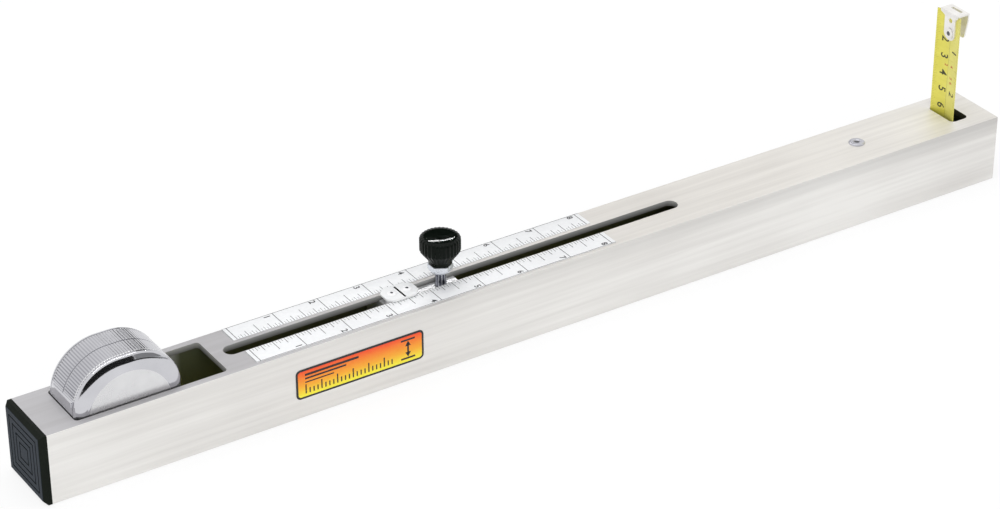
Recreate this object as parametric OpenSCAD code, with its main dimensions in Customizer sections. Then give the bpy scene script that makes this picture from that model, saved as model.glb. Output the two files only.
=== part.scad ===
// Chassis height gauge: a square aluminium tube with a pocket tape in a window at one end.
// The blade runs along the tube, past a sliding carriage that reads a scale, and rises through
// a hole at the other end, so that its hook touches the chassis from below.
// Millimetres. X runs along the tube to the hook, Y to the back, Z up from the resting face.

/* [Tube] */
// Length of the square tube
tube_len = 570; // [550:1:600]
// Outer side of the square tube
tube_side = 38.1; // [38:0.1:40]
// Thickness of the tube's walls
tube_wall = 3.2; // [3:0.1:3.4]
// Radius of the tube's outer edges
edge_r = 0.5; // [0.3:0.1:0.6]

/* [Openings in the tube] */
// Distance from the tube's left end to the window
window_from = 16.5; // [14:0.5:20]
// Length of the window for the tape case
window_len = 80; // [72:1:84]
// Width of the window
window_w = 30.4; // [30:0.2:31]
// Radius of the window's corners
window_r = 2; // [1:0.5:4]
// Metal left between the window and the slot
slot_gap = 6.1; // [5.5:0.1:8]
// Length of the slot, round ends included
slot_len = 266; // [250:1:280]
// Width of the slot
slot_w = 8.5; // [8.4:0.1:9]
// Distance from the tube's right end to the middle of the blade's exit hole
exit_from = 19.1; // [18:0.1:21]
// Length of the exit hole along the tube
exit_len = 11.8; // [11.4:0.1:12]
// Width of the exit hole across the tube
exit_w = 20.6; // [20:0.1:21.4]
// Radius of the exit hole's corners
exit_r = 3; // [1:0.5:4]
// Distance from the tube's right end to the guide's rivet
rivet_from = 82.5; // [76:0.5:90]

/* [Blade and hook] */
// Width of the tape blade
blade_w = 19; // [18:0.5:19]
// Thickness of the tape blade with its coating
blade_t = 0.2; // [0.15:0.05:0.25]
// How far the blade's edges stand above its middle
blade_sag = 2.2; // [1.8:0.1:2.4]
// Height of the blade's middle above the tube's floor
blade_lift = 2; // [1.9:0.1:2.2]
// Radius of the blade's bend in the guide
bend_r = 13; // [11:0.5:14]
// Height of the hook's top above the resting face
tip_z = 100; // [98:1:115]
// Thickness of the hook's sheet
hook_t = 0.9; // [0.7:0.1:1]
// Width of the hook's flat top
hook_w = 14.5; // [13:0.5:16]
// Width of the hook's riveted tab
hook_tab_w = 8.5; // [8:0.5:10]
// Depth of the hook's flat top along the tube
hook_reach = 7.6; // [7:0.2:12]
// Length of the hook's turned-down leg
hook_leg = 15.4; // [12:0.2:20]

/* [Tape case] */
// Length of the tape case along the tube
case_len = 56.6; // [56:0.2:58]
// Height of the tape case
case_h = 59.7; // [58:0.1:60]
// Radius of the tape case's rounded corners
case_corner = 25; // [24:0.5:26]
// Thickness of the closed case
case_w = 29; // [28:0.2:29.6]
// Wall of the case shells
case_wall = 1.5; // [1.4:0.1:1.6]
// Radius of the case's flat round face
face_r = 22; // [21:0.5:23]
// Clearance between the wound blade and the case's posts
coil_gap = 2.4; // [1.8:0.1:4]
// Depth of the wound blade on the drum
coil_depth = 8.8; // [7:0.2:9.5]
// Radius of the spool's axle
axle_r = 3; // [2.5:0.1:3.2]
// Turns of the return spring
spring_turns = 6; // [4:1:7]

/* [Carriage] */
// Reading of the cursor at rest, in inches
reading = 3.43; // [2.2:0.01:6]
// Distance from the slot's left end to the scales' zero line
zero_from = 10.9; // [10:0.1:13]
// Length of the carriage
carriage_len = 43; // [40:0.5:54]
// Distance from the carriage's left end to the hairline
hair_from = 9.5; // [9:0.1:18]
// Distance from the hairline to the knob's axis
knob_from = 24; // [20:0.1:26]
// Clearance between the carriage and the tube's inside
carriage_gap = 0.25; // [0.2:0.05:0.4]
// Width of the carriage's rib that runs in the slot
rib_w = 7.4; // [7.2:0.1:7.6]
// How far the rib stands up into the slot
rib_up = 1; // [0.8:0.1:2]

/* [Cursor] */
// Length of the clear cursor plate
cursor_len = 18.6; // [17:0.2:20]
// Width of the clear cursor plate
cursor_w = 12.8; // [12:0.2:14]
// Thickness of the clear cursor plate
cursor_t = 1.2; // [1:0.1:1.5]
// Length of the cut at the plate's corners
cursor_cut = 3.4; // [2:0.2:4]
// Clearance between the scales and the clear plate
cursor_gap = 0.3; // [0.2:0.1:0.6]
// Distance between the two cursor screws
cursor_pitch = 8.8; // [8:0.2:10]

/* [Knob] */
// Radius of the fluted knob
knob_r = 10.4; // [9.5:0.1:11]
// Height of the knob
knob_h = 15.6; // [15:0.1:17]
// Height of the knob's top above the resting face at rest
knob_top = 63.8; // [62:0.1:66]
// How far the thumb screw backs out
screw_rise = 3.81; // [1:0.1:4]
// Radius of the threaded stud
stud_r = 2.9; // [2.7:0.1:3]
// Number of flutes round the knob
flutes = 30; // [20:1:36]

/* [Scales, label and cap] */
// Length of the scales between zero and their last line, in inches
scale_inches = 8; // [7:1:9]
// Width of each scale strip
scale_w = 12; // [11:0.1:12]
// Thickness of the scale strips
scale_t = 0.3; // [0.2:0.05:0.4]
// Distance from the tube's left end to the side label
label_from = 130.5; // [120:1:200]
// Length of the side label
label_len = 72; // [60:1:90]
// Height of the side label
label_h = 16.6; // [14:0.2:20]
// Thickness of the end cap's flange
cap_t = 4; // [3:0.5:5]

/* [Hidden] */
$fn = 64;

inch = 25.4;
bite = 0.01;
cut = 1;
run_fit = 0.08;

half = tube_side / 2;
inner_half = half - tube_wall;
floor_z = tube_wall;
roof_z = tube_side - tube_wall;
left_x = -tube_len / 2;
right_x = tube_len / 2;

window_x = left_x + window_from;
slot_x = window_x + window_len + slot_gap;
exit_x = right_x - exit_from;
rivet_x = right_x - rivet_from;
zero_x = slot_x + zero_from;
cursor_x = zero_x + reading * inch;
knob_x = cursor_x + knob_from;
carriage_x = cursor_x - hair_from;

// The blade's section is an arc, hollow side up in the run and to the left in the riser
blade_z = floor_z + blade_lift;
blade_rho = (pow(blade_w / 2, 2) + pow(blade_sag, 2)) / (2 * blade_sag);
riser_in = 3.5;
riser_x = exit_x - exit_len / 2 + riser_in;
bend_z = blade_z + blade_sag / 3;
bend_cx = riser_x - blade_sag / 3 - bend_r;
bend_cz = bend_z + bend_r;
blade_top = tip_z - hook_t;

// Tape case, centred over its own bottom on the tube's floor
case_gap = 0.4;
case_hx = case_len / 2;
case_hz = case_h / 2;
case_x = window_x + case_gap + case_hx;
case_z = floor_z + case_hz;
case_half = case_w / 2;
rim_half = case_half - 4.1;
rim_lip = 1.7;
rim_step = 0.4;
bore_half = case_half - case_wall;
cavity_r = case_hx - case_wall;
post_r = 2.5;
post_at = cavity_r - 1.1;
screw_seat = bore_half - 0.8;
coil_r = post_at - post_r - coil_gap;
drum_r = coil_r - coil_depth;
post_angles = [45, 135, 225];
mouth_w = blade_w + 1.2;
screw_r = 1;

// Spool inside the case
spool_half = blade_w / 2 + 0.2;
flange_t = 0.8;
drum_wall = 1.4;
web_t = 1.2;

// Screws through the back wall that hold the case
mount_pitch = 24;
mount_drop = 15;
mount_z = case_z - mount_drop;
mount_r = 2;
mount_head_r = 4;
spacer_h = 12;
spacer_len = mount_pitch + 12;

// Guide block at the right end
guide_x0 = rivet_x - 10.5;
guide_x1 = right_x - 8;
guide_gap = 0.1;
cheek_y = -blade_w / 2 - 0.8;
channel_under = 1;
channel_over = 1.1;
bend_gap = 0.8;
guide_screw_r = 1.5;
guide_screw_len = 12;
guide_screw_at = [
    [guide_x0 + 6, 19],
    [bend_cx - 12, 24],
    [guide_x1 - 4.5, 9]
];
rivet_r = 2.4;
rivet_head_r = 4.4;
rivet_grip = 6;
bulb_r = 3.6;

// Carriage, its blade clamp and the screws that hold it
carriage_half = inner_half - carriage_gap;
carriage_top = roof_z - carriage_gap + 0.05;
clamp_t = 1.5;
clamp_z = floor_z + 0.2;
clamp_top = clamp_z + clamp_t;
channel_half = blade_w / 2 + 1.1;
channel_top = blade_z + blade_sag + 1;
clamp_y = (channel_half + carriage_half) / 2;
clamp_inset = 8;
clamp_screw_r = 1.25;
clamp_screw_len = 8;
clamp_head_r = 2.2;
clamp_head_h = clamp_head_r - clamp_screw_r;
rib_top = roof_z + rib_up;
plate_z = tube_side + scale_t + cursor_gap;
cursor_screw_r = 1.25;
cursor_head_r = 2.4;
cursor_head_h = 0.6;
cursor_screw_len = 9.5;
spacer_r = 2.7;

// Thumb screw
foot_r = 3.5;
foot_z = blade_z + blade_t / 2 + 0.3;
foot_h = 3.4;
tip_r = 2;
tip_len = 2.2;
foot_top = foot_z + foot_h;
foot_room = foot_top + screw_rise + 0.4;
knob_z = knob_top - knob_h;
stud_grip = 9;
nut_h = 4;
nut_af = 11.1;
boss_r = 6.1;

// Hook
hook_back = 2;
hook_x1 = riser_x - hook_back + hook_reach;
rivet_drop = 12.8;
hook_rivet_z = tip_z - rivet_drop;
hook_rivet_r = 1.5;
hook_head_r = 2.9;
hole_drop = 5.5;
hook_hole_z = tip_z - hole_drop;
hook_hole_r = 1.4;
tab_foot = rivet_drop + hook_tab_w / 2;
flare_h = 3.6;
flare_w = hook_w - 0.5;
// How deep the curved tab lies under the rivet's flat head at the head's middle
tab_rho = blade_rho - blade_t / 2 - hook_t;
rivet_seat = tab_rho - sqrt(pow(tab_rho, 2) - pow(hook_head_r, 2)) + bite;

// Scale strips on the tube's top
near_y = -slot_w / 2 - 0.6;
far_y = half - edge_r - 0.1;
scale_over = 2.4;

module tube_section(side, r) {
    square([side - 2 * r, side], center = true);
    square([side, side - 2 * r], center = true);
    for (sx = [-1, 1], sy = [-1, 1])
        translate([sx * (side / 2 - r), sy * (side / 2 - r)])
            circle(r);
}

module round_rect(w, h, r) {
    square([w - 2 * r, h], center = true);
    square([w, h - 2 * r], center = true);
    for (sx = [-1, 1], sy = [-1, 1])
        translate([sx * (w / 2 - r), sy * (h / 2 - r)])
            circle(r);
}

// A section drawn in Y and Z, drawn out along X from x0 to x1
module along_x(x0, x1) {
    translate([x0, 0, 0])
        rotate([90, 0, 90])
            linear_extrude(height = x1 - x0)
                children();
}

// An outline drawn in X and Z, drawn out along Y from y0 to y1
module along_y(y0, y1) {
    translate([0, y1, 0])
        rotate([90, 0, 0])
            linear_extrude(height = y1 - y0)
                children();
}

// A round bar along Y between y0 and y1, about the axis through x and z
module bar_y(x, z, r, y0, y1) {
    translate([x, y1, z])
        rotate([90, 0, 0])
            cylinder(r = r, h = y1 - y0);
}

// A round bar along Z
module bar_z(x, y, r, z0, z1) {
    translate([x, y, z0])
        cylinder(r = r, h = z1 - z0);
}

// The blade's section: an arc about the origin's positive second axis
module blade_section(inner, outer, width) {
    intersection() {
        translate([0, blade_rho])
            difference() {
                circle(blade_rho + outer, $fn = 180);
                circle(blade_rho - inner, $fn = 180);
            }
        translate([-width / 2, -2])
            square([width, blade_sag + 4]);
    }
}

module square_tube() {
    color([0.88, 0.87, 0.85])
    difference() {
        along_x(left_x, right_x)
            translate([0, half])
                difference() {
                    tube_section(tube_side, edge_r);
                    square(2 * inner_half, center = true);
                }
        translate([window_x + window_len / 2, 0, roof_z - cut])
            linear_extrude(height = tube_wall + 2 * cut)
                round_rect(window_len, window_w, window_r);
        translate([slot_x + slot_len / 2, 0, roof_z - cut])
            linear_extrude(height = tube_wall + 2 * cut)
                round_rect(slot_len, slot_w, slot_w / 2 - bite);
        translate([exit_x, 0, roof_z - cut])
            linear_extrude(height = tube_wall + 2 * cut)
                round_rect(exit_len, exit_w, exit_r);
        bar_z(rivet_x, 0, rivet_r, roof_z - cut, tube_side + cut);
        for (s = [-1, 1])
            translate([case_x + s * mount_pitch / 2, 0, mount_z])
                rotate([-90, 0, 0]) {
                    cylinder(r = mount_r, h = half + cut);
                    translate([0, 0, half - mount_head_r + mount_r])
                        cylinder(r1 = mount_r, r2 = mount_head_r, h = mount_head_r - mount_r);
                }
    }
}

module end_cap() {
    bevel = 2;
    face_t = cap_t + 1;
    plug_len = 12;
    plug_half = inner_half - 0.25;
    rib_half = inner_half;
    back_r = (half - 0.1) * sqrt(2);
    front_r = (half - bevel) * sqrt(2);
    color([0.06, 0.07, 0.08])
    difference() {
        union() {
            along_x(left_x - cap_t + bevel, left_x)
                translate([0, half])
                    tube_section(tube_side, edge_r);
            // Bevelled front, as a square frustum
            translate([left_x - cap_t + bevel, 0, half])
                rotate([0, -90, 0])
                    rotate([0, 0, 45])
                        cylinder(r1 = back_r, r2 = front_r, h = bevel, $fn = 4);
            along_x(left_x, left_x + plug_len)
                translate([0, half])
                    square(2 * plug_half, center = true);
            for (k = [1 : 3])
                along_x(left_x + 3 * k, left_x + 3 * k + 0.8)
                    translate([0, half])
                        square(2 * rib_half, center = true);
        }
        along_x(left_x - cap_t + face_t, left_x + plug_len + cut)
            translate([0, half])
                square(2 * plug_half - 4, center = true);
        // Square grooves in the face
        for (k = [0 : 3])
            along_x(left_x - cap_t - cut, left_x - cap_t + 0.4)
                translate([0, half])
                    difference() {
                        square(29 - 6.6 * k, center = true);
                        square(27.4 - 6.6 * k, center = true);
                    }
    }
}

module scale_strip(y0) {
    x0 = zero_x - scale_over;
    x1 = zero_x + scale_inches * inch + scale_over;
    color([0.95, 0.95, 0.95])
    translate([x0, y0, tube_side])
        cube([x1 - x0, scale_w, scale_t]);
}

module scale_far() {
    scale_strip(far_y - scale_w);
}

module scale_near() {
    scale_strip(near_y - scale_w);
}

module side_label() {
    color([0.95, 0.5, 0.1])
    along_y(-half - 0.2, -half)
        translate([left_x + label_from + label_len / 2, half])
            round_rect(label_len, label_h, 2.5);
}

// The blade's way out of the case, low in its front
module mouth_cut() {
    translate([case_x + case_hx - 8, -mouth_w / 2, blade_z - 0.4])
        cube([10, mouth_w, blade_sag + 1.2]);
}

// The case's outline, a square with wide round corners, set in by a step
module case_outline(inset) {
    round_rect(case_len - 2 * inset, case_h - 2 * inset, case_corner - inset);
}

// The outside of one shell: its rim, and the bevel that leads to the round flat face
module case_skin() {
    along_y(-rim_half - bite, 0)
        case_outline(rim_step);
    hull() {
        for (lip = [[0, rim_half + 0.2], [0.4, rim_half + 1.2], [1, rim_half + 2]])
            along_y(-lip[1], -rim_half)
                case_outline(lip[0], $fn = 48);
        bar_y(0, 0, face_r + 4, -case_half + 0.7, -rim_half, $fn = 48);
        bar_y(0, 0, face_r, -case_half, -rim_half, $fn = 48);
    }
}

// One shell of the case. side is -1 for the near shell and 1 for the far one
module case_shell(side) {
    translate([case_x, 0, case_z])
        mirror([0, side < 0 ? 0 : 1, 0])
            difference() {
                union() {
                    difference() {
                        union() {
                            case_skin();
                            translate([0, -rim_half - rim_lip, -case_hz])
                                cube([case_hx, rim_half + rim_lip, case_hz]);
                        }
                        bar_y(0, 0, cavity_r, -rim_half, cut);
                        bar_y(0, 0, face_r + 2, -bore_half, cut);
                        translate([0, -rim_half, -case_hz + case_wall])
                            cube([cavity_r, rim_half + cut, case_hz]);
                    }
                    // Posts for the screws, and the seat of the axle
                    for (a = post_angles)
                        bar_y(post_at * cos(a), post_at * sin(a), post_r, -bore_half - bite, 0);
                    bar_y(0, 0, axle_r + 2, -bore_half - bite, -bore_half + 1);
                }
                for (a = post_angles)
                    bar_y(post_at * cos(a), post_at * sin(a), screw_r, -bore_half, cut);
                bar_y(0, 0, axle_r, -bore_half, 0);
            }
}

module case_shell_near() {
    color([0.80, 0.80, 0.82])
    difference() {
        case_shell(-1);
        mouth_cut();
    }
}

module case_shell_far() {
    color([0.78, 0.78, 0.80])
    difference() {
        case_shell(1);
        mouth_cut();
        for (a = post_angles)
            translate([case_x + post_at * cos(a), 0, case_z + post_at * sin(a)])
                rotate([-90, 0, 0]) {
                    cylinder(r = screw_r, h = case_half + cut);
                    translate([0, 0, screw_seat])
                        cylinder(r = 2.1, h = case_half);
                }
        for (s = [-1, 1])
            bar_y(case_x + s * mount_pitch / 2, mount_z, mount_r, bore_half - cut, case_half + cut);
    }
}

module case_screws() {
    color([0.5, 0.5, 0.52])
    for (a = post_angles)
        translate([case_x + post_at * cos(a), 0, case_z + post_at * sin(a)])
            rotate([-90, 0, 0]) {
                translate([0, 0, -8])
                    cylinder(r = screw_r, h = screw_seat + 8);
                difference() {
                    translate([0, 0, screw_seat])
                        cylinder(r = 2, h = 1.2);
                    translate([-1.6, -0.25, screw_seat + 0.7])
                        cube([3.2, 0.5, 1]);
                }
            }
}

module case_spacer() {
    color([0.15, 0.15, 0.16])
    difference() {
        translate([case_x - spacer_len / 2, case_half, mount_z - spacer_h / 2])
            cube([spacer_len, inner_half - case_half, spacer_h]);
        for (s = [-1, 1])
            bar_y(case_x + s * mount_pitch / 2, mount_z, mount_r, case_half - cut, half);
    }
}

module mount_screws() {
    head = mount_head_r - mount_r;
    color([0.6, 0.6, 0.62])
    for (s = [-1, 1])
        translate([case_x + s * mount_pitch / 2, 0, mount_z])
            rotate([-90, 0, 0])
                difference() {
                    union() {
                        translate([0, 0, bore_half])
                            cylinder(r = mount_r, h = half - head - bore_half);
                        translate([0, 0, half - head])
                            cylinder(r1 = mount_r, r2 = mount_head_r, h = head);
                    }
                    translate([0, 0, half - 1.4])
                        cylinder(r = 1.4, h = 2, $fn = 6);
                }
}

module spool() {
    color([0.9, 0.88, 0.82])
    translate([case_x, 0, case_z])
        difference() {
            union() {
                bar_y(0, 0, drum_r, -spool_half, spool_half);
                bar_y(0, 0, coil_r + 1, spool_half, spool_half + flange_t);
                bar_y(0, 0, coil_r + 1, -spool_half - flange_t, -spool_half);
            }
            bar_y(0, 0, drum_r - drum_wall, -spool_half - cut, spool_half - web_t);
            bar_y(0, 0, axle_r + run_fit, -spool_half, spool_half + cut);
        }
}

module spool_axle() {
    color([0.7, 0.7, 0.72])
    translate([case_x, 0, case_z])
        difference() {
            bar_y(0, 0, axle_r, -bore_half, bore_half);
            translate([-0.25, -8, 0])
                cube([0.5, 14, 2 * axle_r]);
        }
}

// A strip wound in a spiral, as an outline in X and Z
function spiral_point(k, n, turns, r0, r1) =
    let (a = 360 * turns * k / n, r = r0 + (r1 - r0) * k / n) [r * cos(a), r * sin(a)];

module return_spring() {
    strip = 0.3;
    strip_half = 7;
    steps = 24 * spring_turns;
    r0 = axle_r + 0.4;
    r1 = drum_r - drum_wall - strip - 0.2;
    color([0.35, 0.36, 0.4])
    translate([case_x, 0, case_z])
        along_y(-strip_half, strip_half)
            polygon(concat(
                [for (k = [0 : steps]) spiral_point(k, steps, spring_turns, r0, r1)],
                [for (k = [steps : -1 : 0]) spiral_point(k, steps, spring_turns, r0 + strip, r1 + strip)]
            ));
}

module blade_coil() {
    color([0.85, 0.8, 0.25])
    translate([case_x, 0, case_z])
        difference() {
            bar_y(0, 0, coil_r, -blade_w / 2, blade_w / 2);
            bar_y(0, 0, drum_r, -blade_w, blade_w);
        }
}

module blade_run() {
    color([0.85, 0.8, 0.25])
    union() {
        along_x(case_x, bend_cx)
            translate([0, blade_z])
                blade_section(blade_t / 2, blade_t / 2, blade_w);
        translate([bend_cx - 1, -blade_w / 2, bend_z - blade_t / 2])
            cube([1 + bite, blade_w, blade_t]);
        translate([bend_cx, 0, bend_cz])
            rotate([90, 0, 0])
                rotate_extrude(angle = 90, start = -90, $fn = 128)
                    translate([bend_r - blade_t / 2, -blade_w / 2])
                        square([blade_t, blade_w]);
    }
}

// A section drawn about the riser's middle, hollow to the left, standing from z0 to z1
module riser_section(z0, z1, inner, outer, width) {
    translate([riser_x, 0, z0])
        linear_extrude(height = z1 - z0)
            rotate(90)
                blade_section(inner, outer, width);
}

module blade_riser() {
    color([0.85, 0.8, 0.25])
    difference() {
        riser_section(bend_cz + 0.1, blade_top, blade_t / 2, blade_t / 2, blade_w);
        translate([riser_x - cut, 0, hook_rivet_z])
            rotate([0, 90, 0])
                cylinder(r = hook_rivet_r, h = 2 * cut);
    }
}

module tip_hook() {
    deep = 2 * hook_w;
    color([0.82, 0.81, 0.8])
    difference() {
        union() {
            // Tab, bent to the blade's hollow face and flared at the top
            intersection() {
                riser_section(tip_z - tab_foot, tip_z, blade_t / 2 + hook_t, -blade_t / 2, hook_w);
                translate([riser_x - deep / 2, 0, 0])
                    rotate([90, 0, 90])
                        linear_extrude(height = deep)
                            union() {
                                translate([0, hook_rivet_z])
                                    circle(hook_tab_w / 2);
                                translate([-hook_tab_w / 2, hook_rivet_z])
                                    square([hook_tab_w, rivet_drop - hook_t]);
                                polygon([
                                    [-hook_tab_w / 2, tip_z - flare_h],
                                    [hook_tab_w / 2, tip_z - flare_h],
                                    [flare_w / 2, tip_z - flare_h + 2], [flare_w / 2, tip_z],
                                    [-flare_w / 2, tip_z], [-flare_w / 2, tip_z - flare_h + 2]
                                ]);
                            }
            }
            // Flat top
            translate([riser_x - hook_back, -hook_w / 2, tip_z - hook_t])
                cube([hook_reach, hook_w, hook_t]);
            // Turned-down leg, narrower at its foot
            translate([hook_x1 - hook_t, 0, tip_z])
                rotate([90, 0, 90])
                    linear_extrude(height = hook_t)
                        polygon([
                            [-hook_w / 2, 0], [-hook_w / 2, -4], [-hook_w / 2 + 2, -hook_leg + 1],
                            [-hook_w / 2 + 3, -hook_leg], [hook_w / 2 - 3, -hook_leg],
                            [hook_w / 2 - 2, -hook_leg + 1], [hook_w / 2, -4], [hook_w / 2, 0]
                        ]);
        }
        // Slot in the flat top
        translate([hook_x1 - 2.6, 0, tip_z - 2])
            linear_extrude(height = 4)
                round_rect(1.7, 8.3, 0.8);
        for (hole = [[hook_hole_z, hook_hole_r], [hook_rivet_z, hook_rivet_r]])
            translate([riser_x - 4, 0, hole[0]])
                rotate([0, 90, 0])
                    cylinder(r = hole[1], h = 6);
    }
}

module hook_rivet() {
    front = riser_x - blade_t / 2 - hook_t - rivet_seat;
    back = riser_x + blade_t / 2;
    head_t = 0.7;
    color([0.6, 0.58, 0.6])
    translate([0, 0, hook_rivet_z])
        difference() {
            union() {
                translate([front - head_t, 0, 0])
                    rotate([0, 90, 0])
                        cylinder(r = hook_head_r, h = head_t);
                translate([front - head_t / 2, 0, 0])
                    rotate([0, 90, 0])
                        cylinder(r = hook_rivet_r, h = back - front + head_t);
                translate([back, 0, 0])
                    rotate([0, 90, 0])
                        cylinder(r = hook_head_r, h = head_t);
            }
            translate([front - cut, 0, 0])
                rotate([0, 90, 0])
                    cylinder(r = hook_rivet_r / 2, h = cut);
        }
}

// The way of the blade through the guide: along the floor, round the bend and up to the exit
module guide_channel(y0, y1) {
    translate([guide_x0 - cut, y0, blade_z - channel_under])
        cube([bend_cx - guide_x0 + cut, y1 - y0, blade_sag + channel_under + channel_over]);
    intersection() {
        translate([bend_cx, 0, bend_cz])
            difference() {
                bar_y(0, 0, bend_r + bend_gap, y0, y1);
                bar_y(0, 0, bend_r - bend_gap, y0 - cut, y1 + cut);
            }
        translate([bend_cx, y0, 0])
            cube([2 * bend_r, y1 - y0, bend_cz]);
    }
    translate([riser_x - blade_sag - 0.6, y0, bend_cz - bite])
        cube([blade_sag + 1.6, y1 - y0, roof_z]);
    // Pocket under the tube's exit hole
    translate([exit_x - exit_len / 2, y0, roof_z - 12])
        cube([exit_len, y1 - y0, 12 + cut]);
}

module tape_guide() {
    color([0.08, 0.08, 0.09])
    difference() {
        translate([guide_x0, cheek_y, floor_z + 0.2])
            cube([guide_x1 - guide_x0, inner_half - guide_gap - cheek_y, roof_z - floor_z - 0.2]);
        guide_channel(cheek_y - cut, -cheek_y);
        bar_z(rivet_x, 0, rivet_r, 0, tube_side);
        bar_z(rivet_x, 0, bulb_r + 0.8, 0, roof_z - rivet_grip);
        for (p = guide_screw_at)
            bar_y(p[0], p[1], guide_screw_r, cheek_y - cut, cheek_y + guide_screw_len);
    }
}

module guide_cheek() {
    color([0.1, 0.1, 0.11])
    difference() {
        translate([guide_x0, -inner_half + guide_gap, floor_z + 0.2])
            cube([guide_x1 - guide_x0, cheek_y + inner_half - guide_gap, roof_z - floor_z - 0.2]);
        for (p = guide_screw_at) {
            bar_y(p[0], p[1], guide_screw_r, -inner_half - cut, 0);
            bar_y(p[0], p[1], 2 * guide_screw_r, -inner_half - cut, -inner_half + guide_gap + 2);
        }
    }
}

module guide_screws() {
    color([0.55, 0.55, 0.57])
    for (p = guide_screw_at)
        difference() {
            union() {
                bar_y(p[0], p[1], guide_screw_r, -inner_half + guide_gap + 2, cheek_y + guide_screw_len);
                bar_y(p[0], p[1], 2 * guide_screw_r - 0.1, -inner_half + guide_gap + 0.3,
                    -inner_half + guide_gap + 2);
            }
            translate([p[0], -inner_half + 1.4, p[1]])
                rotate([90, 0, 0])
                    cylinder(r = 1.3, h = 4, $fn = 6);
        }
}

module guide_rivet() {
    color([0.62, 0.64, 0.66])
    difference() {
        union() {
            bar_z(rivet_x, 0, rivet_r, roof_z - rivet_grip, tube_side);
            translate([rivet_x, 0, tube_side])
                cylinder(r1 = rivet_head_r, r2 = rivet_head_r - 1.2, h = 1.1);
            bar_z(rivet_x, 0, bulb_r, roof_z - rivet_grip - 4, roof_z - rivet_grip);
        }
        bar_z(rivet_x, 0, 1.3, tube_side - 3, tube_side + 2);
    }
}

module clamp_holes(r, z0, z1) {
    for (x = [clamp_inset, carriage_len - clamp_inset], s = [-1, 1])
        bar_z(carriage_x + x, s * clamp_y, r, z0, z1);
}

module carriage_block() {
    color([0.72, 0.72, 0.74])
    difference() {
        union() {
            translate([carriage_x, -carriage_half, clamp_top])
                cube([carriage_len, 2 * carriage_half, carriage_top - clamp_top]);
            translate([carriage_x, -rib_w / 2, carriage_top - bite])
                cube([carriage_len, rib_w, rib_top - carriage_top + bite]);
        }
        // Way for the blade under the block
        translate([carriage_x - cut, -channel_half, clamp_top - cut])
            cube([carriage_len + 2 * cut, 2 * channel_half, channel_top - clamp_top + cut]);
        bar_z(knob_x, 0, stud_r + run_fit, channel_top, rib_top + cut);
        bar_z(knob_x, 0, foot_r + run_fit, channel_top - cut, foot_room);
        clamp_holes(clamp_screw_r, clamp_top - cut, clamp_top + clamp_screw_len);
        for (s = [-1, 1])
            bar_z(cursor_x + s * cursor_pitch / 2, 0, cursor_screw_r, plate_z - cursor_screw_len - 0.5,
                rib_top + cut);
    }
}

module blade_clamp() {
    color([0.55, 0.56, 0.58])
    difference() {
        translate([carriage_x, -carriage_half, clamp_z])
            cube([carriage_len, 2 * carriage_half, clamp_t]);
        clamp_holes(clamp_screw_r, clamp_z - cut, clamp_top + cut);
        for (x = [clamp_inset, carriage_len - clamp_inset], s = [-1, 1])
            translate([carriage_x + x, s * clamp_y, clamp_z])
                cylinder(r1 = clamp_head_r, r2 = clamp_screw_r, h = clamp_head_h);
    }
}

module clamp_screws() {
    color([0.4, 0.4, 0.42])
    for (x = [clamp_inset, carriage_len - clamp_inset], s = [-1, 1])
        translate([carriage_x + x, s * clamp_y, clamp_z])
            difference() {
                union() {
                    cylinder(r1 = clamp_head_r, r2 = clamp_screw_r, h = clamp_head_h);
                    translate([0, 0, clamp_head_h])
                        cylinder(r = clamp_screw_r, h = clamp_screw_len);
                }
                translate([-1.5, -0.25, -cut])
                    cube([3, 0.5, cut + 0.4]);
            }
}

// The sleeves that hold the clear plate clear of the scales
module cursor_spacers() {
    color([0.7, 0.7, 0.72])
    for (s = [-1, 1])
        difference() {
            bar_z(cursor_x + s * cursor_pitch / 2, 0, spacer_r, rib_top, plate_z);
            bar_z(cursor_x + s * cursor_pitch / 2, 0, cursor_screw_r, 0, tube_side + cut);
        }
}

module cursor_plate() {
    x = cursor_len / 2;
    y = cursor_w / 2;
    color([0.8, 0.88, 0.92, 0.5])
    difference() {
        translate([cursor_x, 0, plate_z])
            linear_extrude(height = cursor_t)
                polygon([
                    [cursor_cut - x, -y], [x - cursor_cut, -y], [x, cursor_cut - y],
                    [x, y - cursor_cut], [x - cursor_cut, y], [cursor_cut - x, y],
                    [-x, y - cursor_cut], [-x, cursor_cut - y]
                ]);
        for (s = [-1, 1])
            bar_z(cursor_x + s * cursor_pitch / 2, 0, cursor_screw_r, 0, tip_z);
    }
}

module cursor_screws() {
    color([0.75, 0.75, 0.76])
    for (s = [-1, 1])
        translate([cursor_x + s * cursor_pitch / 2, 0, plate_z])
            difference() {
                union() {
                    translate([0, 0, -cursor_screw_len])
                        cylinder(r = cursor_screw_r, h = cursor_screw_len + cursor_t);
                    translate([0, 0, cursor_t])
                        cylinder(r1 = cursor_head_r, r2 = cursor_head_r - 0.3, h = cursor_head_h);
                }
                translate([-1.6, -0.3, cursor_t + cursor_head_h / 2])
                    cube([3.2, 0.6, cut]);
            }
}

module knob() {
    boss_h = 2.4;
    grip_from = 8;
    flute_r = 0.8;
    color([0.03, 0.03, 0.03])
    translate([knob_x, 0, knob_z])
        difference() {
            rotate_extrude($fn = 96)
                polygon([
                    [0, 0], [boss_r - 0.8, 0], [boss_r, 0.8], [boss_r, boss_h],
                    [knob_r, grip_from], [knob_r, knob_h - 0.8], [knob_r - 0.6, knob_h - 0.2],
                    [knob_r - 1.4, knob_h], [0, knob_h]
                ]);
            for (k = [0 : flutes - 1])
                rotate([0, 0, 360 * k / flutes])
                    translate([knob_r + flute_r / 2, 0, grip_from - 2])
                        cylinder(r = flute_r, h = knob_h, $fn = 24);
            bar_z(0, 0, stud_r, -cut, stud_grip);
        }
}

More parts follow.
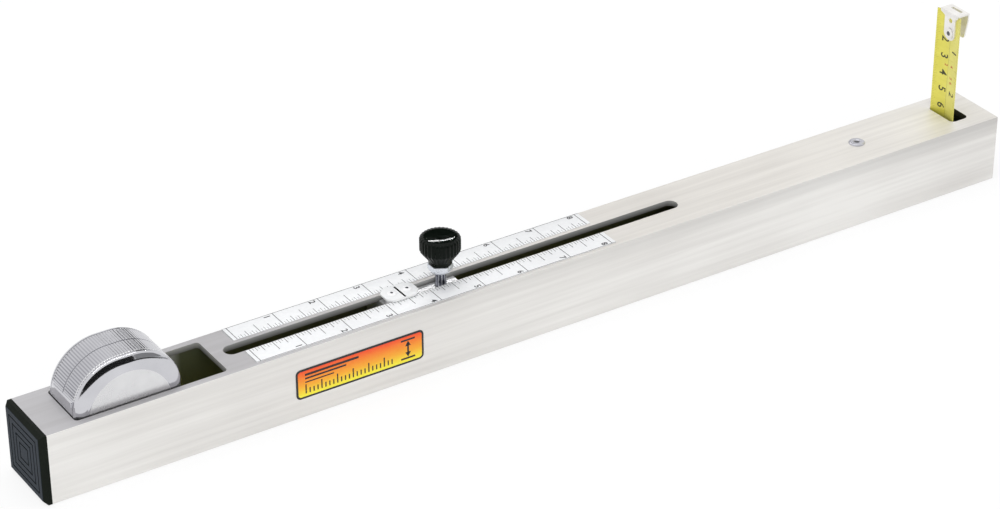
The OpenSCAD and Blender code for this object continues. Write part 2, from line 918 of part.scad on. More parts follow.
module knob_stud() {
    color([0.7, 0.71, 0.74])
    union() {
        bar_z(knob_x, 0, stud_r, foot_top, knob_z + stud_grip);
        bar_z(knob_x, 0, tip_r, foot_top - tip_len, foot_top + bite);
    }
}

module knob_nut() {
    color([0.75, 0.77, 0.8])
    difference() {
        intersection() {
            translate([knob_x, 0, knob_z - nut_h])
                rotate([0, 0, 30])
                    cylinder(r = nut_af / sqrt(3), h = nut_h, $fn = 6);
            translate([knob_x, 0, knob_z - nut_h])
                cylinder(r1 = nut_af / 2 - 0.6, r2 = nut_af / 2 + 2.7, h = nut_h);
        }
        bar_z(knob_x, 0, stud_r, 0, tip_z);
    }
}

module stud_foot() {
    color([0.85, 0.85, 0.8])
    difference() {
        bar_z(knob_x, 0, foot_r, foot_z, foot_top);
        bar_z(knob_x, 0, tip_r + run_fit, foot_top - tip_len - run_fit, tip_z);
    }
}

square_tube();
end_cap();
scale_far();
scale_near();
side_label();
case_shell_near();
case_shell_far();
case_screws();
case_spacer();
mount_screws();
spool();
spool_axle();
return_spring();
blade_coil();
blade_run();
blade_riser();
tip_hook();
hook_rivet();
tape_guide();
guide_cheek();
guide_screws();
guide_rivet();
carriage_block();
blade_clamp();
clamp_screws();
cursor_spacers();
cursor_plate();
cursor_screws();
knob();
knob_stud();
knob_nut();
stud_foot();
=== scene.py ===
import math

import bmesh
import bpy
from mathutils import Matrix, Quaternion, Vector


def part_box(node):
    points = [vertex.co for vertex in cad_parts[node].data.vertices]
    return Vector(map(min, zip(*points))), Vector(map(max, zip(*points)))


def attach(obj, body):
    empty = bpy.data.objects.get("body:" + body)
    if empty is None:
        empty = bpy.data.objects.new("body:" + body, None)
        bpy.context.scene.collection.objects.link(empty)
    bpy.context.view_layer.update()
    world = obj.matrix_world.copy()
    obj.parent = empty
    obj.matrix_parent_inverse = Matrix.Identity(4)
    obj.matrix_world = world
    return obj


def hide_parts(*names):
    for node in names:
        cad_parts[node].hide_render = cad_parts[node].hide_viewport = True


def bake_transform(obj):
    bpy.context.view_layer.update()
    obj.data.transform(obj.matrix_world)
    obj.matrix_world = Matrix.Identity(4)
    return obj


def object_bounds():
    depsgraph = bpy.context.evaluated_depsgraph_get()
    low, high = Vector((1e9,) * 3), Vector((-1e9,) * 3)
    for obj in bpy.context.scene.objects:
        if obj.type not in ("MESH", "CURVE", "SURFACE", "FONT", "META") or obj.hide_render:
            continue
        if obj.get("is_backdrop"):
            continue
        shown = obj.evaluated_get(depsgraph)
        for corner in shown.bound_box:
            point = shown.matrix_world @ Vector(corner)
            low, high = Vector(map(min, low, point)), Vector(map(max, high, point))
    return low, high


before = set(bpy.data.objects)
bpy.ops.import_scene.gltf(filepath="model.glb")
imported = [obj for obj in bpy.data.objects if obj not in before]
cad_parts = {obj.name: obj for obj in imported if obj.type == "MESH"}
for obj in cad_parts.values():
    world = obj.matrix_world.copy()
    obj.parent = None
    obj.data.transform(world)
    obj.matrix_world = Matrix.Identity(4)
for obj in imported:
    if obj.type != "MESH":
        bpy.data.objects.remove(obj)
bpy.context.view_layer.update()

# The camera stands to the left, in front of and above the gauge, with a long lens, so that the
# tube runs up to the right and the blade stands upright at its far end.
scene = bpy.context.scene
scene.view_settings.view_transform = "Standard"


def standing(place, right, up, back):
    """The matrix of a camera or lamp at place, from the directions of its own three axes."""
    return Matrix.Translation(place) @ Matrix((right, up, back)).transposed().to_4x4()


eye = Vector((-0.75241, -1.12715, 0.82918))
ahead = Vector((0.46751552, 0.7246757, -0.50623548))
up = Vector((0.27710156, 0.42367036, 0.86239095))
lens = bpy.data.cameras.new("studio_camera")
lens.lens = 111.757
lens.sensor_width = 36
lens.clip_end = 50
camera = bpy.data.objects.new("studio_camera", lens)
camera.matrix_world = standing(eye, ahead.cross(up), up, -ahead)
scene.collection.objects.link(camera)
scene.camera = camera


# The studio has a white paper floor that fades into a white surround, and broad soft lamps
# overhead, in front, at the left and at the right. Dark and grey flags and two strip lamps, which
# only polished surfaces see, give the chrome and the knob something to mirror.
def reckon(tree, operation, *values):
    """One math step in a node tree, from sockets and numbers."""
    node = tree.nodes.new("ShaderNodeMath")
    node.operation = operation
    for socket, value in zip(node.inputs, values):
        if isinstance(value, (int, float)):
            socket.default_value = value
        else:
            tree.links.new(value, socket)
    return node.outputs[0]


def white_when_seen(tree, plain, white, output, share=1.0):
    """Shows the white shader, in that share, to the camera and in mirrors and glass, and the plain
    one to all other light."""
    ray = tree.nodes.new("ShaderNodeLightPath")
    seen = reckon(tree, "MAXIMUM", ray.outputs["Is Camera Ray"], ray.outputs["Is Glossy Ray"])
    seen = reckon(tree, "MAXIMUM", seen, ray.outputs["Is Transmission Ray"])
    both = tree.nodes.new("ShaderNodeMixShader")
    tree.links.new(reckon(tree, "MULTIPLY", seen, share), both.inputs[0])
    tree.links.new(plain.outputs[0], both.inputs[1])
    tree.links.new(white.outputs[0], both.inputs[2])
    tree.links.new(both.outputs[0], tree.nodes[output].inputs["Surface"])


def matt(name, shade, shine):
    """A plain matt finish in a shade of grey, for the studio's own sheets."""
    material = bpy.data.materials.new(name)
    material.use_nodes = True
    shader = material.node_tree.nodes["Principled BSDF"]
    shader.inputs["Base Color"].default_value = (shade, shade, shade, 1)
    shader.inputs["Roughness"].default_value = 0.9
    shader.inputs["Specular IOR Level"].default_value = shine
    return material


def sheet(name, width, height, material, segments=1):
    """A flat sheet of the studio's, centred on the origin."""
    bm = bmesh.new()
    bmesh.ops.create_grid(bm, x_segments=segments, y_segments=segments, size=0.5)
    bmesh.ops.scale(bm, verts=bm.verts, vec=(width, height, 1))
    mesh = bpy.data.meshes.new(name)
    bm.to_mesh(mesh)
    bm.free()
    mesh.materials.append(material)
    made = bpy.data.objects.new(name, mesh)
    scene.collection.objects.link(made)
    made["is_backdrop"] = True
    return made


def facing(place, aim):
    """The turn of a lamp or flag that stands at place and faces aim."""
    return (Vector(place) - Vector(aim)).to_track_quat("Z", "Y").to_euler()


def only_mirrored(thing):
    """Leaves a flag or lamp to be seen by polished surfaces alone."""
    thing.visible_camera = False
    thing.visible_diffuse = False
    thing.visible_transmission = False


surround = bpy.data.worlds.new("white_surround")
surround.use_nodes = True
fill = surround.node_tree.nodes["Background"]
fill.inputs["Color"].default_value = (0.97, 0.98, 1, 1)
fill.inputs["Strength"].default_value = 0.62
backdrop = surround.node_tree.nodes.new("ShaderNodeBackground")
backdrop.inputs["Color"].default_value = (1, 1, 1, 1)
backdrop.inputs["Strength"].default_value = 1.0
white_when_seen(surround.node_tree, fill, backdrop, "World Output")
scene.world = surround

paper = matt("white_paper", 0.9, 0.1)
glow = paper.node_tree.nodes.new("ShaderNodeEmission")
glow.inputs["Color"].default_value = (1, 1, 1, 1)
glow.inputs["Strength"].default_value = 1.03
plain_paper = paper.node_tree.nodes["Principled BSDF"]
white_when_seen(paper.node_tree, plain_paper, glow, "Material Output", share=0.8)
floor_side, floor_gap = 24, 0.0004
floor = sheet("floor", floor_side, floor_side, paper, segments=4)
floor.data.transform(Matrix.Translation((0, 0, -floor_gap)))

for name, place, aim, size, power in (
    ("overhead_softbox", (-0.1, 0.3, 1.7), (0, 0, 0), 1.6, 11),
    ("front_softbox", (-0.6, -1.9, 0.9), (0, 0, 0.02), 1.2, 11),
    ("left_softbox", (-1.8, -0.2, 0.6), (-0.2, 0, 0.02), 0.8, 4),
    ("right_softbox", (0.95, -0.5, 0.9), (0.25, 0, 0.02), 0.6, 1.0),
):
    lamp = bpy.data.lights.new(name, "AREA")
    lamp.shape = "DISK"
    lamp.size = size
    lamp.energy = power
    holder = bpy.data.objects.new(name, lamp)
    holder.location = place
    holder.rotation_euler = facing(place, aim)
    holder.visible_glossy = False
    scene.collection.objects.link(holder)

for name, place, aim, width, height, shade in (
    ("camera_flag", (-0.39, -1.0, 0.24), (-0.39, 0, 0.24), 1.16, 0.48, 0.02),
    ("grey_flag", (0.57, -1.0, 0.24), (0.57, 0, 0.24), 0.74, 0.48, 0.35),
    ("low_flag", (-0.21, -0.65, 0.003), (-0.21, -0.65, -1), 0.68, 0.66, 0.02),
    ("low_grey_flag", (0.3, -0.62, 0.003), (0.3, -0.62, -1), 0.34, 0.72, 0.35),
    ("knob_flag", (0.267, 0.507, 0.418), (-0.06, 0, 0.064), 0.3, 0.34, 0.01),
):
    flag = sheet(name, width, height, matt(name + "_felt", shade, 0.0))
    flag.location = place
    flag.rotation_euler = facing(place, aim)
    flag.visible_shadow = False
    only_mirrored(flag)

# A long strip lamp over the tape case, and a short one that draws the line on the knob's top
for name, place, aim, long_side, short_side, power in (
    ("case_strip", (-0.3, 0.0, 1.0), (-0.3, 0.0, 0), 1.2, 0.06, 2.0),
    ("knob_strip", (0.208, 0.42, 0.398), (-0.06, 0, 0.064), 0.18, 0.003, 0.3),
):
    lamp = bpy.data.lights.new(name, "AREA")
    lamp.shape = "RECTANGLE"
    lamp.size = long_side
    lamp.size_y = short_side
    lamp.energy = power
    holder = bpy.data.objects.new(name, lamp)
    back = (Vector(place) - Vector(aim)).normalized()
    side = (Vector((1, 0, 0)) - back * back.x).normalized()
    holder.matrix_world = standing(place, side, back.cross(side), back)
    only_mirrored(holder)
    scene.collection.objects.link(holder)


# The tube is a length of square aluminium extrusion, cut, milled and lightly satin finished. The
# die leaves faint wavy lines along it, and painted shade and light vary its tone in places.
def noise(tree, where, scale, detail):
    """A cloudy pattern in that place, from 0 to 1."""
    node = tree.nodes.new("ShaderNodeTexNoise")
    node.inputs["Scale"].default_value = scale
    node.inputs["Detail"].default_value = detail
    tree.links.new(where, node.inputs["Vector"])
    return node.outputs["Fac"]


def spread(tree, value, start, end, low=0.0, high=1.0):
    """low where value is start or less, high where it is end or more, and even steps between."""
    node = tree.nodes.new("ShaderNodeMapRange")
    for name, number in zip(("From Min", "From Max", "To Min", "To Max"), (start, end, low, high)):
        node.inputs[name].default_value = number
    tree.links.new(value, node.inputs["Value"])
    return node.outputs["Result"]


def ramp(tree, value, *stops):
    """A colour that runs through the stops, each given as a value and its colour."""
    node = tree.nodes.new("ShaderNodeValToRGB")
    elements = node.color_ramp.elements
    for element, (position, colour) in zip(elements, (stops[0], stops[-1])):
        element.position = position
        element.color = (*colour, 1)
    for position, colour in stops[1:-1]:
        elements.new(position).color = (*colour, 1)
    tree.links.new(value, node.inputs["Fac"])
    return node.outputs["Color"]


def mixed(tree, factor, first, second, way="MIX"):
    """Two colours mixed, each a socket or red, green and blue."""
    node = tree.nodes.new("ShaderNodeMix")
    node.data_type = "RGBA"
    node.blend_type = way
    sockets = (node.inputs["Factor"], node.inputs[6], node.inputs[7])
    for socket, value in zip(sockets, (factor, first, second)):
        if isinstance(value, (int, float)):
            socket.default_value = value
        elif isinstance(value, tuple):
            socket.default_value = (*value, 1)
        else:
            tree.links.new(value, socket)
    return node.outputs[2]


def finish(name, dark, light, rough, metal=0.0, grain=(300, 300, 300), bump=0.1, depth=0.00002,
           cloud=40, shine=0.5):
    """Colour between dark and light and roughness between the two values, from a fine grain and a
    broad cloud in object coordinates, with a bump from the same grain."""
    material = bpy.data.materials.new(name)
    material.use_nodes = True
    tree = material.node_tree
    shader = tree.nodes["Principled BSDF"]
    shader.inputs["Metallic"].default_value = metal
    shader.inputs["Specular IOR Level"].default_value = shine
    where = tree.nodes.new("ShaderNodeTexCoord").outputs["Object"]
    stretch = tree.nodes.new("ShaderNodeMapping")
    stretch.inputs["Scale"].default_value = grain
    tree.links.new(where, stretch.inputs["Vector"])
    fine = noise(tree, stretch.outputs["Vector"], 1.0, 4.0)
    broad = noise(tree, where, cloud, 2.0)
    both = reckon(tree, "MULTIPLY_ADD", fine, 0.5, reckon(tree, "MULTIPLY", broad, 0.5))
    colour = ramp(tree, both, (0.35, dark), (0.65, light))
    colour.node.name = "colours"
    tree.links.new(colour, shader.inputs["Base Color"])
    tree.links.new(spread(tree, both, 0.3, 0.7, *rough), shader.inputs["Roughness"])
    relief = tree.nodes.new("ShaderNodeBump")
    relief.inputs["Strength"].default_value = bump
    relief.inputs["Distance"].default_value = depth
    tree.links.new(fine, relief.inputs["Height"])
    tree.links.new(relief.outputs["Normal"], shader.inputs["Normal"])
    return material


def own_colour(tree):
    """The colour that a finish has from its grain and cloud."""
    return tree.nodes["colours"].outputs["Color"]


def place_on(tree):
    """X, Y and Z of the place on the piece, in metres."""
    split = tree.nodes.new("ShaderNodeSeparateXYZ")
    tree.links.new(tree.nodes["Texture Coordinate"].outputs["Object"], split.inputs[0])
    return [split.outputs[axis] for axis in "XYZ"]


def coat(tree, colour):
    """Gives a finish another colour over its own."""
    tree.links.new(colour, tree.nodes["Principled BSDF"].inputs["Base Color"])


def corners(node):
    """A CAD node's lowest and highest corners, in millimetres."""
    return [1000 * Vector(corner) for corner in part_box(node)]


def dress(node, material):
    """Gives a CAD node that stays as it is its finish."""
    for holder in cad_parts[node].material_slots:
        holder.material = material


satin_aluminium = finish(
    "satin_aluminium", (0.71, 0.69, 0.66), (0.87, 0.855, 0.825), (0.42, 0.58), metal=0.3,
    grain=(9, 330, 330), bump=0.25, depth=0.00003, cloud=9,
)
tube_side = corners("square_tube")[1].z
mid_z = tube_side / 2000
wall, skin, edge_skin, openings_half = 0.0031, 0.00005, 0.00008, 0.0155
tree = satin_aluminium.node_tree
x, y, z = place_on(tree)

# The top is painted darker towards the case and lighter towards the blade: painted shade and light
rib_wear_and_top_shade, painted_top_mid, painted_top_light = (0.60, 0.60, 0.635), (0.895, 0.88, 0.86), (0.98, 0.97, 0.965)
on_top = reckon(tree, "GREATER_THAN", z, 2 * mid_z - skin)
painted_top_tone = mixed(tree, spread(tree, x, -0.17, 0.05), rib_wear_and_top_shade, painted_top_mid)
painted_top_tone = mixed(tree, spread(tree, x, 0.19, 0.24), painted_top_tone, painted_top_light)
shade = mixed(tree, on_top, own_colour(tree), painted_top_tone, "MULTIPLY")

# A darker band painted along the top of the sides, stronger towards the blade: painted shade
painted_band_shade = (0.24, 0.23, 0.22)
band_along = spread(tree, x, -0.15, 0.28, 0.03, 0.34)
band = reckon(tree, "MULTIPLY", spread(tree, z, 0.028, 0.036), band_along)
band = reckon(tree, "MULTIPLY", band, reckon(tree, "SUBTRACT", 1.0, on_top))
shade = mixed(tree, band, shade, painted_band_shade)


def near_axis(half_y, half_z):
    """1 where the tube is no further than these from its middle line, 0 elsewhere."""
    within_y = reckon(tree, "COMPARE", y, 0.0, half_y)
    return reckon(tree, "MULTIPLY", within_y, reckon(tree, "COMPARE", z, mid_z, half_z))


# Painted shade and light on the openings' cut edges, darkest at their foot and towards the blade
black, painted_edge_light = (0.0, 0.0, 0.0), (1.0, 1.0, 0.98)
lighter_up = spread(tree, z, 0.0349, 0.0379, 0.17, 0.52)
edge_light = reckon(tree, "MULTIPLY", lighter_up, spread(tree, x, 0.10, 0.26, 1.0, 0.12))
cut_edge = near_axis(openings_half, mid_z - edge_skin)
shade = mixed(tree, cut_edge, shade, mixed(tree, edge_light, black, painted_edge_light))

# The inside is painted light near the case and dark further along: painted reflection and shadow
painted_inside_light, painted_inside_shadow = (0.90, 0.90, 0.92), (0.09, 0.10, 0.055)
inside = near_axis(mid_z - wall, mid_z - wall)
inner_shade = mixed(tree, spread(tree, x, -0.213, -0.198), painted_inside_light, painted_inside_shadow)
coat(tree, mixed(tree, inside, shade, inner_shade))
dress("square_tube", satin_aluminium)

# The end cap is moulded in black plastic and pushed into the tube's left end, where ribs on its
# plug grip the walls. Its face is a lighter, worn slate with square grooves moulded into it.
cap_plastic = finish(
    "black_moulded_plastic", (0.004, 0.006, 0.004), (0.009, 0.012, 0.008), (0.5, 0.62),
    grain=(900, 900, 900), bump=0.12, cloud=60, shine=0.08,
)
face_skin = 0.15
tree = cap_plastic.node_tree
cap_face = corners("end_cap")[0].x
on_face = reckon(tree, "LESS_THAN", place_on(tree)[0], (cap_face + face_skin) / 1000)
cloudy = tree.nodes["colours"].inputs["Fac"].links[0].from_socket
slate = ramp(tree, cloudy, (0.35, (0.021, 0.027, 0.036)), (0.65, (0.033, 0.041, 0.051)))
coat(tree, mixed(tree, on_face, own_colour(tree), slate))
dress("end_cap", cap_plastic)


# Two scales of printed white plastic film are stuck to the tube's top beside the slot. Each reads
# in sixteenths of an inch from zero at the left to eight, with the figures along its outer edge.
def bevel(bm, edges, by, steps):
    """Rounds the edges by that much, in so many steps."""
    bmesh.ops.bevel(
        bm, geom=list(edges), offset=by, offset_type="OFFSET", segments=steps,
        profile=0.5, affect="EDGES", clamp_overlap=True, material=-1,
    )


def slab(bm, low, high, round_by=0.0, steps=2):
    """Adds a block between two corners, in millimetres, with rounded edges."""
    low, high = Vector(low), Vector(high)
    made = bmesh.ops.create_cube(bm, size=1)["verts"]
    bmesh.ops.scale(bm, verts=made, vec=high - low)
    bmesh.ops.translate(bm, verts=made, vec=(low + high) / 2)
    if round_by:
        bevel(bm, {edge for vert in made for edge in vert.link_edges}, round_by, steps)


def add_piece(name, bm, material, body, smooth=35, merge=True):
    """Turns a bmesh drawn in millimetres into a named piece in metres that rides on a body."""
    if merge:
        bmesh.ops.remove_doubles(bm, verts=bm.verts, dist=0.0005)
        bmesh.ops.recalc_face_normals(bm, faces=bm.faces)
    bmesh.ops.scale(bm, verts=bm.verts, vec=(0.001, 0.001, 0.001))
    mesh = bpy.data.meshes.new(name)
    bm.to_mesh(mesh)
    bm.free()
    mesh.shade_smooth()
    mesh.set_sharp_from_angle(angle=math.radians(smooth))
    mesh.materials.append(material)
    piece = bpy.data.objects.new(name, mesh)
    scene.collection.objects.link(piece)
    if body:
        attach(piece, body)
    return piece


def figure(bm, text, height, place):
    """Adds a printed figure of that height, centred on place's origin and lying in its XY plane."""
    type_face = bpy.data.curves.new("figure", "FONT")
    type_face.body = text
    type_face.size = 1
    type_face.extrude = 0.008
    type_face.offset = 0.012
    type_face.resolution_u = 3
    stand = bpy.data.objects.new("figure", type_face)
    scene.collection.objects.link(stand)
    bpy.context.view_layer.update()
    settled = stand.evaluated_get(bpy.context.evaluated_depsgraph_get())
    flat = bpy.data.meshes.new_from_object(settled)
    bpy.data.objects.remove(stand)
    bpy.data.curves.remove(type_face)
    wide = [vert.co.x for vert in flat.vertices]
    tall = [vert.co.y for vert in flat.vertices]
    middle = Vector(((min(wide) + max(wide)) / 2, (min(tall) + max(tall)) / 2, 0))
    sized = Matrix.Scale(height / (max(tall) - min(tall)), 4)
    flat.transform(place @ sized @ Matrix.Translation(-middle))
    bm.from_mesh(flat)
    bpy.data.meshes.remove(flat)


film = finish(
    "white_scale_film", (0.83, 0.835, 0.84), (0.90, 0.905, 0.91), (0.3, 0.42),
    grain=(500, 500, 500), bump=0.05, cloud=35,
)
scale_ink = finish(
    "black_scale_ink", (0.010, 0.010, 0.012), (0.022, 0.022, 0.024), (0.4, 0.55),
    grain=(900, 900, 900),
)
inch, full_scale = 25.4, 8
figure_tall, figure_in, figure_left = 3.4, 1.9, 3.6
# Sixteenths from tick to tick, with the ticks' length and half their width
ticks = {16: (12.0, 0.17), 8: (7.6, 0.15), 4: (4.7, 0.14), 2: (3.1, 0.10), 1: (2.2, 0.08)}
for side, node in ((-1, "scale_near"), (1, "scale_far")):
    low, high = corners(node)
    bm = bmesh.new()
    slab(bm, low, high, 0.08)
    strip = add_piece(node + "_strip", bm, film, "tube_body")
    slot_edge, outer_edge = (high.y, low.y) if side < 0 else (low.y, high.y)
    longest = high.y - low.y
    zero = (low.x + high.x - full_scale * inch) / 2
    ink_low, ink_high = high.z - 0.01, high.z + 0.02
    bm = bmesh.new()
    for k in range(full_scale * 16 + 1):
        length, half = next(tick for step, tick in ticks.items() if k % step == 0)
        tick_end = slot_edge + side * (min(length, longest) - 0.05)
        y_from, y_to = sorted((slot_edge + side * 0.02, tick_end))
        at = zero + k * inch / 16
        slab(bm, (at - half, y_from, ink_low), (at + half, y_to, ink_high))
    # A line along the outer edge, and one across the left end
    y_from, y_to = sorted((outer_edge - side * 0.12, outer_edge - side * 0.38))
    slab(bm, (low.x + 0.1, y_from, ink_low), (high.x - 0.1, y_to, ink_high))
    slab(bm, (low.x + 0.05, low.y + 0.1, ink_low), (low.x + 0.25, high.y - 0.1, ink_high))
    for number in range(1, full_scale + 1):
        spot = (zero + number * inch - figure_left, outer_edge - side * figure_in, ink_high)
        sideways = Matrix.Translation(spot) @ Matrix.Rotation(-math.pi / 2, 4, "Z")
        figure(bm, str(number), figure_tall, sideways)
    add_piece(node + "_print", bm, scale_ink, "tube_body", merge=False)
    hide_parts(node)

# A glossy printed label is stuck to the tube's front: a black border round a ground that runs from
# red at the top to yellow at the bottom, with a plain height arrow and measuring marks in black.
label_low, label_high = corners("side_label")
glossy_print = {"grain": (700, 700, 700), "bump": 0.04}


def edges_along(bm, axis, least):
    """The edges that run along an axis for more than that."""
    return [e for e in bm.edges if abs(e.verts[0].co[axis] - e.verts[1].co[axis]) > least]


def label_layer(name, material, inset, proud, corner_r):
    """One layer of the label, with round corners, set in at its edges and a little proud."""
    edge = Vector((inset, 0, inset))
    bm = bmesh.new()
    slab(bm, label_low + edge - Vector((0, proud, 0)), label_high - edge)
    bevel(bm, edges_along(bm, 1, 0.1), corner_r, 8)
    return add_piece(name, bm, material, "tube_body")


border_ink = finish(
    "black_label_border", (0.006, 0.006, 0.006), (0.012, 0.012, 0.012), (0.22, 0.3),
    **glossy_print,
)
border = label_layer("side_label_border", border_ink, 0.0, 0.0, 2.6)
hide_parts("side_label")

sunset = finish(
    "red_to_yellow_print", (0.8, 0.1, 0.0), (0.9, 0.8, 0.1), (0.2, 0.28), **glossy_print)
tree = sunset.node_tree
height_up = spread(tree, place_on(tree)[2], label_low.z / 1000, label_high.z / 1000)
yellow, amber, red = (0.92, 0.86, 0.035), (0.93, 0.40, 0.010), (0.90, 0.030, 0.004)
fades = ramp(tree, height_up, (0.08, yellow), (0.42, amber), (0.95, red))
coat(tree, mixed(tree, 0.05, fades, own_colour(tree)))
label_layer("side_label_ground", sunset, 1.1, 0.03, 1.6)

label_ink = finish(
    "label_motif_ink", (0.010, 0.004, 0.003), (0.022, 0.008, 0.005), (0.22, 0.3), **glossy_print)
bm = bmesh.new()
ink_front, ink_back = label_low.y - 0.05, label_low.y
left, foot, head = label_low.x + 5, label_low.z + 2.6, label_high.z - 3.6
arrow_x = label_high.x - 9.0
for bar_z in (foot, head):
    slab(bm, (arrow_x - 4, ink_front, bar_z), (arrow_x + 4, ink_back, bar_z + 1.0))
slab(bm, (arrow_x - 0.5, ink_front, foot + 2.4), (arrow_x + 0.5, ink_back, head - 1.4))
for bar_z, way in ((foot + 1.0, 1), (head, -1)):
    tip = bmesh.ops.create_cone(
        bm, cap_ends=True, segments=3, radius1=1.9, radius2=1.9, depth=0.06)["verts"]
    for turn, axis in ((math.pi / 2, "X"), (math.pi if way > 0 else 0, "Y")):
        bmesh.ops.rotate(bm, verts=tip, cent=(0, 0, 0), matrix=Matrix.Rotation(turn, 3, axis))
    bmesh.ops.translate(bm, verts=tip, vec=(arrow_x, ink_back - 0.02, bar_z + 2.0 * way))
marks, mark_pitch, mark_w = 23, 2.2, 0.7
for k in range(marks):
    tall = 5.2 if k % 4 == 0 else 2.8
    at = left + mark_pitch * k
    slab(bm, (at, ink_front, foot), (at + mark_w, ink_back, foot + tall))
for k in range(3):
    long, half_tall, mid = 30 - 7 * k, 0.65 - 0.15 * k, label_high.z - 3.4 - 2.1 * k
    slab(bm, (left, ink_front, mid - half_tall), (left + long, ink_back, mid + half_tall))
add_piece("side_label_motif", bm, label_ink, "tube_body", merge=False)

# The tape case is pressed from sheet and chrome plated: two shells, screwed together round the
# spool. Reeded bands run round its rim on both sides of the seam, and a rounded bezel leads to
# each flat, lightly brushed face.
full_turn = 2 * math.pi


def lathe(bm, outline, centre, axis, steps, angle=full_turn, start=0.0):
    """Spins an outline of (radius, distance along the axis) pairs about the axis through centre."""
    axis, centre = Vector(axis), Vector(centre)
    out = Vector((1, 0, 0)) if abs(axis.x) < 0.5 else Vector((0, 0, 1))
    out.rotate(Quaternion(axis, start))
    points = [bm.verts.new(centre + out * radius + axis * along) for radius, along in outline]
    edges = [bm.edges.new(pair) for pair in zip(points, points[1:])]
    bmesh.ops.spin(
        bm, geom=points + edges, cent=centre, axis=axis, dvec=(0, 0, 0), angle=angle,
        steps=steps, use_merge=angle == full_turn, use_normal_flip=False, use_duplicate=False,
    )


case_low, case_high = corners("case_shell_near")
case_hx, case_hz = (case_high.x - case_low.x) / 2, (case_high.z - case_low.z) / 2
case_mid = Vector((case_low.x + case_hx, 0, case_low.z + case_hz))
case_half = -case_low.y
corner_r, mean_r, face_r = 25, 30, 22
below, wrap = 4, 236
ribs, rib_depth = 134, 0.34
reeded_from, reeded_to = math.radians(20), math.radians(154.6)


def case_reach(turn):
    """Distance from the case's middle to its outline, a square with wide round corners."""
    c, s = abs(math.cos(turn)), abs(math.sin(turn))
    flat_x, flat_z = case_hx - corner_r, case_hz - corner_r
    if s * case_hx <= c * flat_z:
        return case_hx / c
    if c * case_hz <= s * flat_x:
        return case_hz / s
    along = c * flat_x + s * flat_z
    return along + math.sqrt(along ** 2 - flat_x ** 2 - flat_z ** 2 + corner_r ** 2)


def part_way(value, start, end):
    """How far value is from start to end, no less than 0 and no more than 1."""
    return min(1, max(0, (value - start) / (end - start)))


def groove(turn, count):
    """0 on the crests of that many ribs round a rim, 1 in the valleys between them."""
    return 0.5 - 0.5 * math.cos(count * turn)


def rim_piece(name, outline, steps, material, smooth, depth=0.0):
    """Spins an outline drawn for a round case of mean_r, then draws it in to the case's own
    outline, with grooves of that depth where it is reeded, sharp by the cap and worn further on."""
    bm = bmesh.new()
    lathe(bm, outline, case_mid, (0, 1, 0), steps, -math.radians(wrap), math.radians(below))
    valley = bm.verts.layers.float.new("valley")
    for vert in bm.verts:
        across = vert.co - case_mid
        turn = math.atan2(across.z, across.x)
        radius = math.hypot(across.x, across.z)
        wanted = radius + (case_reach(turn) - mean_r) * part_way(radius, face_r, mean_r)
        if depth and radius > mean_r - 0.1 and reeded_from < turn < reeded_to:
            low = groove(turn, ribs)
            rib_wear_and_top_shade = 1 - part_way(turn, 1.5, 2.6)
            wanted -= depth * low * (1 - 0.6 * rib_wear_and_top_shade)
            vert[valley] = low * (1 - 0.8 * rib_wear_and_top_shade)
        vert.co.x = case_mid.x + across.x * wanted / radius
        vert.co.z = case_mid.z + across.z * wanted / radius
    return add_piece(name, bm, material, "tube_body", smooth=smooth)


def soil_valleys(material, valley_shade_and_dirt):
    """Darkens a finish in the valleys between ribs, which the piece's attribute gives: painted
    shade, and on the case's ribs dirt as well.
    """
    tree = material.node_tree
    valley = tree.nodes.new("ShaderNodeAttribute")
    valley.attribute_name = "valley"
    coat(tree, mixed(tree, valley.outputs["Fac"], own_colour(tree), valley_shade_and_dirt))


chrome_tones = (0.56, 0.56, 0.59), (0.64, 0.64, 0.67)
plated = {"metal": 1.0, "grain": (60, 60, 60), "bump": 0.03, "depth": 0.00003, "cloud": 30}
chrome = finish("polished_chrome", *chrome_tones, (0.05, 0.11), **plated)
reeded_chrome = finish("reeded_chrome", *chrome_tones, (0.10, 0.18), **plated)
# The valleys between the ribs are painted dark: dirt and painted shade
soil_valleys(reeded_chrome, (0.22, 0.22, 0.25))
brushed_chrome = finish(
    "brushed_chrome_face", (0.66, 0.66, 0.67), (0.74, 0.74, 0.75), (0.25, 0.30), metal=1.0,
    grain=(160, 40, 160), bump=0.01, cloud=45,
)
dress("case_shell_near", brushed_chrome)
dress("case_shell_far", brushed_chrome)

# The bezel's outline: a lip, two bends into the face, and a flat ring with a fine groove in it
lip_y = case_half - 2.59
bezel = [(mean_r - 0.7, lip_y - 0.55), (mean_r, lip_y - 0.4), (mean_r, lip_y)]
for bend_r, first, last, steps in ((1.4, 0, 50, 6), (2.0, 50, 62, 3), (10.74, 62, 86, 9)):
    turn = math.radians(first)
    bend_x, bend_y = bezel[-1][0] - bend_r * math.cos(turn), bezel[-1][1] - bend_r * math.sin(turn)
    for k in range(1, steps + 1):
        turn = math.radians(first + (last - first) * k / steps)
        bezel.append((bend_x + bend_r * math.cos(turn), bend_y + bend_r * math.sin(turn)))
ring = ((24.6, -0.03), (23.4, 0.02), (23.1, -0.04), (22.8, 0.02), (21.9, 0.03), (21.7, -0.05))
bezel += [(radius, case_half + proud) for radius, proud in ring]
band = [(mean_r - 0.7, 0.2), (mean_r, 0.3), (mean_r, lip_y - 0.75), (mean_r - 0.7, lip_y - 0.7)]
for side, half_name in ((-1, "near"), (1, "far")):
    for name, outline, steps, material, smooth, depth in (
        ("case_reeding_", band, ribs * 4 * wrap // 360, reeded_chrome, 75, rib_depth),
        ("case_bezel_", bezel, 200, chrome, 40, 0.0),
    ):
        outline = [(radius, side * along) for radius, along in outline]
        rim_piece(name + half_name, outline, steps, material, smooth, depth)

